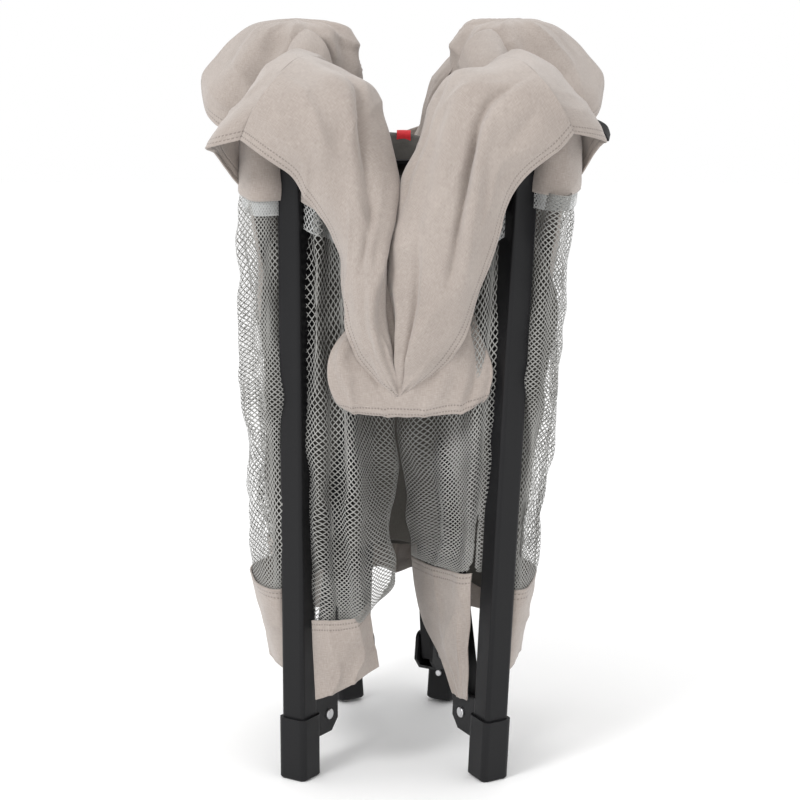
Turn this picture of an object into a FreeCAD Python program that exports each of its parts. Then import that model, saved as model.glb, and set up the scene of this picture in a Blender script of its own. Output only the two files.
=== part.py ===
"""Folding travel play yard: four posts on feet, folding top rails, struts to a central hub.

The model is drawn folded, standing on its feet, with the short side facing -Y and +Z up.
Each corner has a frame of its own: its origin is the post's centre at the sole, and its axes are
the model's axes when the yard is unfolded. A post that leans when folded is turned about the
pivot where its strut meets its foot.
"""
import FreeCAD, Part
import math
import os
import re

Vector = FreeCAD.Vector
Rotation = FreeCAD.Rotation
Placement = FreeCAD.Placement
UP = Vector(0, 0, 1)

SIZES = {
    # floor struts and hub
    "strut_reach": 530, "strut_height": 22, "strut_width": 15, "strut_wall": 1.5,
    "diagonal_angle": 58, "hub_reach": 35, "hub_core_radius": 19, "hub_leg_radius": 14,
    "hub_plate_radius": 48, "hub_plate_thick": 4,
    # how far each strut folds up from level, and how far each post leans out when folded
    "fold_front_left": 78.4, "fold_front_right": 77.8, "fold_back_left": 85.7, "fold_back_right": 85.7,
    "lean_front_left": 0, "lean_front_right": 4.5, "lean_back_left": 7, "lean_back_right": 7,
    # posts and feet
    "post_side": 26, "post_wall": 1.5, "post_corner": 4, "post_top": 678,
    "foot_side": 31.5, "foot_corner": 6, "foot_height": 64, "foot_floor": 12, "sole_chamfer": 2,
    "ear_reach": 35, "ear_end": 16, "ear_below": 19, "ear_above": 23, "ear_low": "=pivot_height - ear_below", "ear_top": "=pivot_height + ear_above",
    "ear_floor": 4, "ear_chamfer": 11,
    "pivot_height": 57, "cheek_thick": 3.5, "cheek_gap": 0.5,
    "screw_height": 30, "screw_radius": 2, "screw_length": 8, "screw_head_radius": 3.6,
    "screw_head_thick": 1.6, "screw_head_round": 0.8,
    # pins and rivets
    "pin_radius": 3, "pin_play": 0.05, "pin_head_radius": 5.5, "pin_head_thick": 2.2,
    # corner caps
    "cap_radius": 21, "cap_grip": 30, "cap_crown": 25, "rail_rise": 8,
    "cap_low": "=post_top - cap_grip", "cap_top": "=post_top + cap_crown", "rail_pivot_height": "=post_top + rail_rise",
    # top rails and the locks at their middles
    "rail_height": 20, "rail_width": 20, "rail_wall": 1.4, "rail_gap": 0.6,
    "lock_half": 30, "lock_floor": 4, "lock_top": 13, "lock_core_gap": 1.4,
    "button_length": 16, "button_width": 12, "button_height": 11, "button_travel": 5,
    "button_play": 0.15, "button_round": 1.5,
    # soft parts
    "wall_out": 70, "wall_in": 40, "wall_thick": 8, "wall_low": 100, "hood_out": 92, "hood_in": 58,
    "hood_thick": 26, "hood_round": 13,
    "cover_side": 36, "cover_round": 15, "cover_start": 46, "cover_play": 0.4, "cover_room": "=lock_half * 0.45 - 13.1",
    "floor_length": 110, "floor_width": 84, "floor_thick": 4,
    "tab_width": 14, "tab_height": 20, "tab_thick": 3, "tab_across": 9.5,
    "fit": 0.1,
    # a rail's pin stands far enough out for its padded cover to hang clear of the leaning post's edge
    "corner_reach": "=post_side * 0.6 + cover_side / 2 + cover_room",
}

CORNERS = {"front_left": (-1, -1), "front_right": (1, -1), "back_left": (-1, 1), "back_right": (1, 1)}
SIDES = {
    "front": ("front_left", "front_right"), "back": ("back_left", "back_right"),
    "left": ("front_left", "back_left"), "right": ("front_right", "back_right"),
}

doc = FreeCAD.newDocument("travel_play_yard")
sheet = doc.addObject("Spreadsheet::Sheet", "sizes")
for row, (alias, number) in enumerate(SIZES.items(), start=1):
    sheet.set("A%d" % row, alias)
    sheet.set("B%d" % row, str(number))
    sheet.setAlias("B%d" % row, alias)
doc.recompute()


def size(alias):
    """The value of a named cell."""
    return float(sheet.get(alias))


def bind(piece, prop, formula):
    """Bind a property to a formula written with the names of the cells."""
    named = re.sub(r"[a-z_]+", lambda word: "sizes." + word.group() if word.group() in SIZES
                   else word.group(), str(formula))
    piece.setExpression(prop, named)


def place(piece, x=0, y=0, z=0):
    for axis, formula in zip("xyz", (x, y, z)):
        bind(piece, "Placement.Base." + axis, formula)


def box(name, length, width, height, x=0, y=0, z=0):
    """A box whose corner lies at x, y, z."""
    piece = doc.addObject("Part::Box", name)
    for prop, formula in (("Length", length), ("Width", width), ("Height", height)):
        bind(piece, prop, formula)
    place(piece, x, y, z)
    return piece


def rod(name, radius, length, x=0, y=0, z=0, along="z"):
    """A cylinder that starts at x, y, z and runs along +X, +Y or +Z."""
    piece = doc.addObject("Part::Cylinder", name)
    bind(piece, "Radius", radius)
    bind(piece, "Height", length)
    turn = {"x": Rotation(Vector(0, 1, 0), 90), "y": Rotation(Vector(1, 0, 0), -90), "z": Rotation()}
    piece.Placement = Placement(Vector(), turn[along])
    place(piece, x, y, z)
    return piece


def join(name, pieces, refine=True):
    piece = doc.addObject("Part::MultiFuse", name)
    piece.Shapes = pieces
    piece.Refine = refine
    return piece


def cut(name, base, tools):
    piece = doc.addObject("Part::Cut", name)
    piece.Base = base
    piece.Tool = tools[0] if len(tools) == 1 else join(name + "_tools", tools)
    piece.Refine = True
    return piece


def ease(name, base, radius, picked, flat=False):
    """Round, or chamfer when flat, the edges that picked chooses."""
    doc.recompute()
    piece = doc.addObject("Part::Chamfer" if flat else "Part::Fillet", name)
    piece.Base = base
    piece.Edges = [(number, radius, radius) for number, edge in enumerate(base.Shape.Edges, start=1)
                   if picked(edge)]
    return piece


def turned(name, piece, rotation, centre=Vector()):
    """A piece turned about a point, kept as a compound with its own place."""
    holder = doc.addObject("Part::Compound", name)
    holder.Links = [piece]
    holder.Placement = Placement(centre, rotation) * Placement(-centre, Rotation())
    return holder


def runs_along(edge, axis):
    start, end = edge.Vertexes[0].Point, edge.Vertexes[-1].Point
    run = end - start
    return run.Length > 1e-6 and abs(run.normalize().dot(axis)) > 0.999


PARTS = []


def part(label, piece, placement):
    """Name a finished sub-part and put it where it stands."""
    piece.Placement = placement * piece.Placement
    piece.Label = label
    PARTS.append(piece)
    return piece


def copy_of(label, master, placement):
    """One more of a sub-part that is made several times."""
    piece = doc.addObject("Part::Compound", label)
    piece.Links = [master]
    return part(label, piece, placement)


# ---- where everything stands when folded -------------------------------------------------------

def inward(corner):
    """The direction from a corner to the hub."""
    angle = math.radians(size("diagonal_angle"))
    across, along = CORNERS[corner]
    return Vector(-across * math.cos(angle), -along * math.sin(angle), 0)


def hinge_axis(corner):
    return UP.cross(inward(corner))


def yaw(corner):
    return Rotation(Vector(1, 0, 0), inward(corner))


def heel_height(corner):
    """Height of a foot's strut pivot over the floor once its post leans."""
    lean = math.radians(size("lean_" + corner))
    heel = size("ear_reach") + size("foot_side") / 2 - size("sole_chamfer")
    return size("pivot_height") * math.cos(lean) + heel * math.sin(lean)


def strut_rise(corner):
    return size("strut_reach") * math.sin(math.radians(size("fold_" + corner)))


HUB_HEIGHT = heel_height("front_left") + strut_rise("front_left")


def hub_lift(corner):
    """How far a hub arm sits above the front left one, so that every foot meets the floor."""
    return heel_height(corner) + strut_rise(corner) - HUB_HEIGHT


def strut_direction(corner, angle):
    return inward(corner) * math.cos(math.radians(angle)) + UP * math.sin(math.radians(angle))


def hub_pivot(corner):
    return UP * (HUB_HEIGHT + hub_lift(corner)) - inward(corner) * size("hub_reach")


def foot_pivot(corner):
    return hub_pivot(corner) - strut_direction(corner, size("fold_" + corner)) * size("strut_reach")


def post_place(corner):
    """The corner frame, folded: the leaning post's own axes."""
    lean = Rotation(hinge_axis(corner), -size("lean_" + corner))
    pivot_in_frame = inward(corner) * size("ear_reach") + UP * size("pivot_height")
    return Placement(foot_pivot(corner), lean) * Placement(-pivot_in_frame, Rotation())


def strut_place(corner):
    rise = Rotation(hinge_axis(corner), -size("fold_" + corner))
    return Placement(foot_pivot(corner), rise * yaw(corner))


def towards(side, corner):
    """The direction along a side, from one of its corners to the other, when unfolded."""
    across, along = CORNERS[corner]
    return Vector(-across, 0, 0) if side in ("front", "back") else Vector(0, -along, 0)


def unfolded_span(side):
    """Distance between the two posts of a side when unfolded."""
    angle = math.radians(size("diagonal_angle"))
    share = math.cos(angle) if side in ("front", "back") else math.sin(angle)
    return 2 * share * (size("hub_reach") + size("strut_reach") + size("ear_reach"))


def rail_reach(side):
    """Half rail from its corner pin to its lock pin."""
    return unfolded_span(side) / 2 - size("corner_reach") - size("lock_half")


def corner_pin(side, corner):
    local = towards(side, corner) * size("corner_reach") + UP * size("rail_pivot_height")
    return post_place(corner).multVec(local)


def lock_line(side):
    """Middle of a folded side's lock, with its length square to the post of the first corner."""
    first, second = SIDES[side]
    frame = post_place(first).Rotation * Rotation(Vector(1, 0, 0), towards(side, first))
    span = frame.multVec(Vector(2 * size("lock_half"), 0, 0))
    start = corner_pin(side, first)
    gap = corner_pin(side, second) - span - start
    level = Vector(gap).normalize()
    down = (level * UP.dot(level) - UP).normalize()
    drop = math.sqrt(rail_reach(side) ** 2 - gap.Length ** 2 / 4)
    first_pin = start + gap / 2 + down * drop
    return Placement(first_pin + span / 2, frame)


def lock_pin(side, corner):
    offset = -size("lock_half") if corner == SIDES[side][0] else size("lock_half")
    return lock_line(side).multVec(Vector(offset, 0, 0))


def rail_angles(side, corner):
    """A folded half rail's roll about the side's line, and its drop below level, in degrees."""
    run = lock_pin(side, corner) - corner_pin(side, corner)
    square = Rotation(Vector(1, 0, 0), towards(side, corner))
    local = (post_place(corner).Rotation * square).inverted().multVec(run)
    return math.degrees(math.atan2(local.y, -local.z)), math.degrees(math.acos(local.x / local.Length))


def lock_place(side):
    """The lock rolls with its first half rail, so that its fork stays square to the pin."""
    roll = rail_angles(side, SIDES[side][0])[0]
    return lock_line(side) * Placement(Vector(), Rotation(Vector(1, 0, 0), roll))


def rail_place(side, corner):
    roll, drop = rail_angles(side, corner)
    square = Rotation(Vector(1, 0, 0), towards(side, corner))
    turn = Rotation(Vector(1, 0, 0), roll) * Rotation(Vector(0, 1, 0), drop)
    return Placement(corner_pin(side, corner), post_place(corner).Rotation * square * turn)


# ---- sub-parts ---------------------------------------------------------------------------------

def square_bar(name, side, corner, low, high):
    """A square bar with rounded corners, standing on the corner frame's axis."""
    bar = box(name + "_block", side, side, "(%s) - (%s)" % (high, low),
              "-(%s) / 2" % side, "-(%s) / 2" % side, low)
    return ease(name, bar, corner, lambda edge: runs_along(edge, UP))


def post_tube():
    skin = square_bar("post_skin", "post_side", size("post_corner"), "foot_floor", "post_top")
    bore = square_bar("post_bore", "post_side - 2 * post_wall", size("post_corner") - size("post_wall"),
                      "foot_floor - 1", "post_top + 1")
    screw = rod("post_screw_hole", "screw_radius + fit", "post_side", 0, 0, "screw_height", "x")
    return cut("post_master", skin, [bore, screw])


def foot():
    """Boot around the post's end, with the two ears that hold the strut."""
    boot = square_bar("foot_boot", "foot_side", size("foot_corner"), 0, "foot_height")
    sole = ease("foot_sole", boot, size("sole_chamfer"),
                lambda edge: edge.BoundBox.ZMax < 0.01, flat=True)
    ear_width = "strut_width + 2 * cheek_gap + 2 * cheek_thick"
    block = box("ear_block", "ear_reach + ear_end - foot_side / 4", ear_width, "ear_top - ear_low",
                "foot_side / 4", "-(%s) / 2" % ear_width, "ear_low")
    far = size("ear_reach") + size("ear_end")
    rounded = ease("ear_round", block, size("ear_end") / 2, lambda edge: runs_along(edge, Vector(0, 1, 0))
                   and edge.BoundBox.XMin > far - 0.01 and edge.BoundBox.ZMin > size("ear_top") - 0.01)
    ears = ease("ears", rounded, size("ear_chamfer"), lambda edge: runs_along(edge, Vector(0, 1, 0))
                and edge.BoundBox.XMin > far - 0.01 and edge.BoundBox.ZMax < size("ear_low") + 0.01,
                flat=True)
    slot_start = "foot_side / 2 + cheek_thick / 2"
    slot_width = "strut_width + 2 * cheek_gap"
    slot = box("ear_slot", "ear_reach + ear_end", slot_width, "ear_top", slot_start,
               "-(%s) / 2" % slot_width, "ear_low + ear_floor")
    socket = square_bar("foot_socket", "post_side + 2 * fit", size("post_corner"), "foot_floor", "ear_top + 1")
    pin = rod("ear_hole", "pin_radius + pin_play", "2 * foot_side", "ear_reach", "-foot_side",
              "pivot_height", "y")
    screw = rod("foot_screw_hole", "screw_radius + fit", "foot_side", 0, 0, "screw_height", "x")
    return cut("foot_master", join("foot_body", [sole, ears]), [slot, socket, pin, screw])


def rivet(name, grip, x=0, z=0, play="fit"):
    """Rivet along Y: its heads stand just off the cheeks."""
    shank = rod(name + "_shank", "pin_radius", "%s + 2 * %s" % (grip, play), x,
                "-(%s) / 2 - %s" % (grip, play), z, "y")
    near = rod(name + "_near_head", "pin_head_radius", "pin_head_thick", x,
               "-(%s) / 2 - %s - pin_head_thick" % (grip, play), z, "y")
    far = rod(name + "_far_head", "pin_head_radius", "pin_head_thick", x, "(%s) / 2 + %s" % (grip, play), z, "y")
    return ease(name, join(name + "_blank", [shank, near, far]), size("pin_head_thick") * 0.6,
                lambda edge: len(edge.Vertexes) == 1 and abs(edge.Curve.Radius - size("pin_head_radius")) < 0.01
                and abs(abs(edge.BoundBox.Center.y) - far_face(name)) < 0.01)


def far_face(name):
    """Distance of a rivet's outer faces from its middle."""
    return max(abs(vertex.Y) for vertex in doc.getObject(name + "_blank").Shape.Vertexes)


def foot_fasteners():
    """The strut rivet, and the screw that holds the boot on the post."""
    pin = rivet("strut_rivet", "strut_width + 2 * cheek_gap + 2 * cheek_thick", "ear_reach", "pivot_height")
    head = rod("screw_head", "screw_head_radius", "screw_head_thick", "foot_side / 2", 0, "screw_height", "x")
    shank = rod("screw_shank", "screw_radius", "screw_length", "foot_side / 2 - screw_length", 0,
                "screw_height", "x")
    face = size("foot_side") / 2 + size("screw_head_thick")
    screw = ease("boot_screw", join("screw_blank", [shank, head]), size("screw_head_round"),
                 lambda edge: len(edge.Vertexes) == 1 and edge.BoundBox.XMin > face - 0.01)
    group = doc.addObject("Part::Compound", "fastener_master")
    group.Links = [pin, screw]
    return group


def link_bar(name, reach, width, height, wall):
    """Hollow bar along X between two pins, with its ends rounded about them."""
    middle = box(name + "_middle", reach, width, height, 0, "-(%s) / 2" % width, "-(%s) / 2" % height)
    ends = [rod(name + "_" + end, "%s / 2" % height, width, x, "-(%s) / 2" % width, 0, "y")
            for end, x in (("near", 0), ("far", reach))]
    blank = join(name + "_blank", [middle] + ends)
    skin = ease(name + "_skin", blank, size(wall) * 1.5, lambda edge: edge.BoundBox.YLength < 0.01)
    bore = box(name + "_bore", "(%s) + 2 * %s" % (reach, height), "%s - 2 * %s" % (width, wall),
               "%s - 2 * %s" % (height, wall), "-%s" % height, "%s - %s / 2" % (wall, width),
               "%s - %s / 2" % (wall, height))
    holes = [rod(name + "_hole_" + end, "pin_radius + pin_play", "2 * %s" % width, x, "-%s" % width, 0, "y")
             for end, x in (("near", 0), ("far", reach))]
    return cut(name, skin, [bore] + holes)


def corner_cap(corner):
    """Cap on a post, with a fork towards each neighbour that holds a rail's end."""
    name = "cap_" + corner
    core = rod(name + "_core", "cap_radius", "cap_top - cap_low", z="cap_low")
    fork_width = "rail_width + 2 * rail_gap + 2 * cheek_thick"
    forks, slots = [], []
    for side in (side for side in SIDES if corner in SIDES[side]):
        tag = name + "_" + side
        low = "rail_pivot_height - rail_height / 2 - cheek_thick"
        arm = box(tag + "_arm", "corner_reach - cap_radius / 3", fork_width,
                  "rail_height + 2 * cheek_thick", "cap_radius / 3", "-(%s) / 2" % fork_width, low)
        nose = rod(tag + "_nose", "rail_height / 2 + cheek_thick", fork_width, "corner_reach",
                   "-(%s) / 2" % fork_width, "rail_pivot_height", "y")
        slot = box(tag + "_slot", "3 * rail_height", "rail_width + 2 * rail_gap", "2 * rail_height",
                   "corner_reach - rail_height / 2 - 2 * rail_gap", "-rail_width / 2 - rail_gap",
                   "rail_pivot_height - rail_height")
        hole = rod(tag + "_hole", "pin_radius + pin_play", "3 * rail_width", "corner_reach",
                   "-1.5 * rail_width", "rail_pivot_height", "y")
        square = Rotation(Vector(1, 0, 0), towards(side, corner))
        roll = Rotation(Vector(1, 0, 0), rail_angles(side, corner)[0])
        line = Vector(0, 0, size("rail_pivot_height"))
        forks.append(turned(tag + "_fork", join(tag + "_solid", [arm, nose]), square * roll, line))
        slots.append(turned(tag + "_cut", join(tag + "_void", [slot, hole]), square * roll, line))
    bar = square_bar(name + "_socket", "post_side + 2 * fit", size("post_corner"), "cap_low - 1", "post_top")
    socket = turned(name + "_socket_turned", bar, yaw(corner))
    return cut(name, join(name + "_body", [core] + forks, refine=False), slots + [socket])


def corner_pins(corner):
    """The two rivets that hold the rails' ends in a corner cap."""
    group = doc.addObject("Part::Compound", "pins_" + corner)
    pins = []
    for side in (side for side in SIDES if corner in SIDES[side]):
        square = Rotation(Vector(1, 0, 0), towards(side, corner))
        roll = Rotation(Vector(1, 0, 0), rail_angles(side, corner)[0])
        seat = towards(side, corner) * size("corner_reach") + UP * size("rail_pivot_height")
        holder = doc.addObject("Part::Compound", "pin_%s_%s" % (side, corner))
        holder.Links = [doc.getObject("rail_rivet")]
        holder.Placement = Placement(seat, square * roll)
        pins.append(holder)
    group.Links = pins
    return group


def lock_shell():
    """Housing at the middle of a side: a fork for the first half rail, a flat end for the second."""
    width = "rail_width + 2 * rail_gap + 2 * cheek_thick"
    nose = "rail_height / 2"
    low = "-rail_height / 2 - rail_gap - lock_floor"
    block = box("lock_block", "2 * lock_half - lock_core_gap", width, "lock_top - (%s)" % low,
                "-lock_half - %s" % nose, "-(%s) / 2" % width, low)
    body = ease("lock_body", block, size("cheek_thick") * 0.8, lambda edge: runs_along(edge, Vector(0, 1, 0)))
    slot = box("lock_slot", "2 * lock_half", "rail_width + 2 * rail_gap", "3 * lock_top",
               "%s + lock_core_gap - 3 * lock_half" % nose, "-rail_width / 2 - rail_gap",
               "-rail_height / 2 - rail_gap")
    hole = rod("lock_hole", "pin_radius + pin_play", "3 * rail_width", "-lock_half", "-1.5 * rail_width", 0, "y")
    pocket = box("lock_pocket", "button_length + 2 * button_play", "button_width + 2 * button_play",
                 "button_height + 2 * button_play", "-button_length / 2 - button_play",
                 "-button_width / 2 - button_play", low)
    return cut("lock_master", body, [slot, hole, pocket])


def lock_button():
    low = "-rail_height / 2 - rail_gap - lock_floor - button_travel"
    block = box("button_block", "button_length", "button_width", "button_height", "-button_length / 2",
                "-button_width / 2", low)
    return ease("button_master", block, size("button_round"),
                lambda edge: edge.BoundBox.ZMax < block.Shape.BoundBox.ZMin + 0.01)


def hub():
    """Centre block with an arm to each strut, a top plate and a leg that meets the floor."""
    arm_width = "strut_width + 2 * cheek_gap + 2 * cheek_thick"
    nose = "strut_height / 2 + cheek_thick / 2"
    solids, voids = [], []
    for corner in CORNERS:
        lift = hub_lift(corner)
        arm = box("hub_arm_" + corner, "hub_reach", arm_width, "2 * (%s)" % nose, 0, "-(%s) / 2" % arm_width,
                  "%.6f - (%s)" % (lift, nose))
        end = rod("hub_nose_" + corner, nose, arm_width, "hub_reach", "-(%s) / 2" % arm_width, "%.6f" % lift, "y")
        slot = box("hub_slot_" + corner, "3 * strut_height", "strut_width + 2 * cheek_gap",
                   "4 * (%s)" % nose, "hub_reach - strut_height / 2 - cheek_gap",
                   "-strut_width / 2 - cheek_gap", "%.6f - 2 * (%s)" % (lift, nose))
        hole = rod("hub_hole_" + corner, "pin_radius + pin_play", "3 * strut_width", "hub_reach",
                   "-1.5 * strut_width", "%.6f" % lift, "y")
        outward = Rotation(Vector(1, 0, 0), -inward(corner))
        solids.append(turned("hub_fork_" + corner, join("hub_limb_" + corner, [arm, end]), outward))
        voids.append(turned("hub_void_" + corner, join("hub_gap_" + corner, [slot, hole]), outward))
    top = "%.6f + (%s)" % (max(hub_lift(corner) for corner in CORNERS), nose)
    core = rod("hub_core", "hub_core_radius", "%s + (%s)" % (top, nose), z="-(%s)" % nose)
    leg = rod("hub_leg", "hub_leg_radius", "pivot_height - 1", z="1 - pivot_height")
    carved = cut("hub_carved", join("hub_limbs", solids + [core]), voids)
    plate = rod("hub_plate", "hub_plate_radius", "hub_plate_thick", z=top)
    return join("hub_body_blank", [carved, leg, plate])


def hub_pins():
    """The four rivets that hold the struts in the hub."""
    group = doc.addObject("Part::Compound", "hub_pins_group")
    pins = []
    for corner in CORNERS:
        holder = doc.addObject("Part::Compound", "hub_pin_" + corner)
        holder.Links = [doc.getObject("strut_pin")]
        seat = -inward(corner) * size("hub_reach") + UP * hub_lift(corner)
        holder.Placement = Placement(seat, Rotation(Vector(1, 0, 0), -inward(corner)))
        pins.append(holder)
    group.Links = pins
    return group


def rail_cover(name, reach):
    """Padded sleeve of cloth around a half rail."""
    sleeve = box(name + "_outer", "(%s) - 2 * cover_start" % reach, "cover_side", "cover_side", "cover_start",
                 "-cover_side / 2", "-cover_side / 2")
    soft = ease(name + "_soft", sleeve, size("cover_round"), lambda edge: runs_along(edge, Vector(1, 0, 0)))
    bore = box(name + "_bore", reach, "rail_width + 2 * cover_play", "rail_height + 2 * cover_play", 0,
               "-rail_width / 2 - cover_play", "-rail_height / 2 - cover_play")
    return cut(name, soft, [bore])


def corner_cloth():
    """Hood and side cloth around one corner: an angle of cloth outside the post, closed on top."""
    outer = box("cloth_outer", "wall_out + wall_in", "wall_out + wall_in", "cap_top - wall_low",
                "-wall_out", "-wall_out", "wall_low")
    inner = box("cloth_inner", "wall_out + wall_in", "wall_out + wall_in", "cap_top",
                "wall_thick - wall_out", "wall_thick - wall_out", 0)
    wall = cut("cloth_wall", outer, [inner])
    hood = box("cloth_hood", "hood_out + hood_in", "hood_out + hood_in", "hood_thick", "-hood_out",
               "-hood_out", "cap_top")
    soft = ease("cloth_hood_soft", hood, size("hood_round"), lambda edge: runs_along(edge, UP))
    return join("cloth_master", [wall, soft])


# ---- build -------------------------------------------------------------------------------------

post_master = post_tube()
foot_master = foot()
fastener_master = foot_fasteners()
strut_master = link_bar("strut_master", "strut_reach", "strut_width", "strut_height", "strut_wall")
rivet("rail_rivet", "rail_width + 2 * rail_gap + 2 * cheek_thick")
rivet("strut_pin", "strut_width + 2 * cheek_gap + 2 * cheek_thick")
lock_master = lock_shell()
button_master = lock_button()
cloth_master = corner_cloth()
rail_masters, cover_masters = {}, {}
for side in ("front", "left"):
    reach = "%.6f" % rail_reach(side)
    rail_masters[side] = link_bar("rail_master_" + side, reach, "rail_width", "rail_height", "rail_wall")
    cover_masters[side] = rail_cover("cover_master_" + side, reach)
rail_masters["back"], rail_masters["right"] = rail_masters["front"], rail_masters["left"]
cover_masters["back"], cover_masters["right"] = cover_masters["front"], cover_masters["left"]

for corner in CORNERS:
    frame = post_place(corner)
    turned_frame = frame * Placement(Vector(), yaw(corner))
    copy_of("post_" + corner, post_master, turned_frame)
    copy_of("foot_" + corner, foot_master, turned_frame)
    copy_of("foot_fasteners_" + corner, fastener_master, turned_frame)
    copy_of("strut_" + corner, strut_master, strut_place(corner))
    part("corner_cap_" + corner, corner_cap(corner), frame)
    part("rail_pins_" + corner, corner_pins(corner), frame)
    across, along = CORNERS[corner]
    quarter = {(-1, -1): 0, (1, -1): 90, (1, 1): 180, (-1, 1): 270}[(across, along)]
    copy_of("corner_cloth_" + corner, cloth_master, frame * Placement(Vector(), Rotation(UP, quarter)))

for side, corners in SIDES.items():
    copy_of("lock_" + side, lock_master, lock_place(side))
    copy_of("lock_button_" + side, button_master, lock_place(side))
    pin_seat = lock_place(side) * Placement(Vector(-size("lock_half"), 0, 0), Rotation())
    copy_of("lock_pin_" + side, doc.getObject("rail_rivet"), pin_seat)
    for corner in corners:
        tag = side + "_" + (corner.split("_")[1] if side in ("front", "back") else corner.split("_")[0])
        copy_of("rail_" + tag, rail_masters[side], rail_place(side, corner))
        copy_of("rail_cover_" + tag, cover_masters[side], rail_place(side, corner))

hub_frame = Placement(UP * HUB_HEIGHT, Rotation())
hub_piece = part("hub", hub(), hub_frame)
part("hub_pins", hub_pins(), hub_frame)
doc.recompute()
hub_top = hub_piece.Shape.BoundBox.ZMax
floor = box("floor_pad", "floor_width", "floor_length", "floor_thick", "-floor_width / 2", "-floor_length / 2")
part("floor_cloth", ease("floor_soft", floor, size("floor_width") / 6, lambda edge: runs_along(edge, UP)),
     Placement(UP * hub_top, Rotation()))
tab = box("tab_strip", "tab_width", "tab_thick", "tab_height", "tab_across - tab_width / 2",
          "-tab_thick / 2", "floor_thick")
part("pull_tab", ease("tab_round", tab, size("tab_width") / 5, lambda edge: runs_along(edge, Vector(0, 1, 0))
                      and edge.BoundBox.ZMin > size("tab_height")), Placement(UP * hub_top, Rotation()))
doc.recompute()

# ---- centre the footprint on the origin, check and write ----------------------------------------

whole = FreeCAD.BoundBox()
for piece in PARTS:
    whole.add(piece.Shape.BoundBox)
ORIGIN = Vector(whole.Center.x, whole.Center.y, whole.ZMin)
for piece in PARTS:
    piece.Placement = Placement(-ORIGIN, Rotation()) * piece.Placement
doc.recompute()

failed = [item.Name for item in doc.Objects if "Invalid" in item.State or "Error" in item.State]
failed += [piece.Label for piece in PARTS if piece.Shape.isNull() or not piece.Shape.isValid()]
if failed:
    raise SystemExit("these pieces failed: " + ", ".join(failed))

os.makedirs("parts", exist_ok=True)
for piece in PARTS:
    piece.Shape.exportStep("parts/%s.step" % piece.Label)
print("%d nodes, %.0f x %.0f x %.0f mm" % (len(PARTS), whole.XLength, whole.YLength, whole.ZLength))
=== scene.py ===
"""Travel play yard, folded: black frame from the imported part, with cloth, net and light around it."""

import math

import bmesh
import bpy
from mathutils import Matrix, Vector, noise


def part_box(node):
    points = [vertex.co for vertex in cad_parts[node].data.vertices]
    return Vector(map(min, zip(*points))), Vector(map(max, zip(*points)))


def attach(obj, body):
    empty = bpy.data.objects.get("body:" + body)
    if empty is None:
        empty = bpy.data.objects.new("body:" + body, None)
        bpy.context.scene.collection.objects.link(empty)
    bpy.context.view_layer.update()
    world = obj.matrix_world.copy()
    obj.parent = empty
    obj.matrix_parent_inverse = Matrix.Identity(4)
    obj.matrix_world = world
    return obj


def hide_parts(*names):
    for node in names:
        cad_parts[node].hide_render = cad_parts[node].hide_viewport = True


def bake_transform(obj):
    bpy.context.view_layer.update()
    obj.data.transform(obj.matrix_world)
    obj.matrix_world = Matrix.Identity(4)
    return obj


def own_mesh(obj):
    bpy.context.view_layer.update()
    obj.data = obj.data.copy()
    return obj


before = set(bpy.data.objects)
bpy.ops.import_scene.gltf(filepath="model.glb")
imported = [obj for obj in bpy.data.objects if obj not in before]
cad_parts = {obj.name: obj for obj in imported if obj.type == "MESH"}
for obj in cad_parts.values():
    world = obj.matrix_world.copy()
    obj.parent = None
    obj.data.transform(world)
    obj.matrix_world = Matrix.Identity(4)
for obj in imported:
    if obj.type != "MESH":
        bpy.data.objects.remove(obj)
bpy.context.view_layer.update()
MM = 0.001
STITCH_ROWS = (0.0042, 0.0098)  # metres from the hem
STITCH_PITCH = 0.0032

# ---- materials -----------------------------------------------------------------------------------


def shader(name, **values):
    """A material with its Principled node, whose plain values are set on the sockets."""
    made = bpy.data.materials.new(name)
    made.use_nodes = True
    skin = made.node_tree.nodes["Principled BSDF"]
    for socket, value in values.items():
        skin.inputs[socket.replace("_", " ")].default_value = value
    return made, made.node_tree, skin


def node(tree, kind, links=(), **values):
    """A node with its plain values, fed by the sockets in links."""
    made = tree.nodes.new(kind)
    for key, value in values.items():
        if key in made.inputs:
            made.inputs[key].default_value = value
        else:
            setattr(made, key, value)
    for socket, source in dict(links).items():
        tree.links.new(source, made.inputs[socket])
    return made


def maths(tree, operation, *terms):
    """The result of a sum on sockets and plain numbers."""
    made = node(tree, "ShaderNodeMath", operation=operation)
    for index, term in enumerate(terms):
        if isinstance(term, (int, float)):
            made.inputs[index].default_value = term
        else:
            tree.links.new(term, made.inputs[index])
    return made.outputs[0]


def blended(tree, share, low, high):
    """Colour that goes from low to high with share."""
    made = node(tree, "ShaderNodeMix", data_type="RGBA")
    for index, term in ((0, share), (6, low), (7, high)):
        if hasattr(term, "is_output"):
            tree.links.new(term, made.inputs[index])
        else:
            made.inputs[index].default_value = term
    return made.outputs[2]


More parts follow.
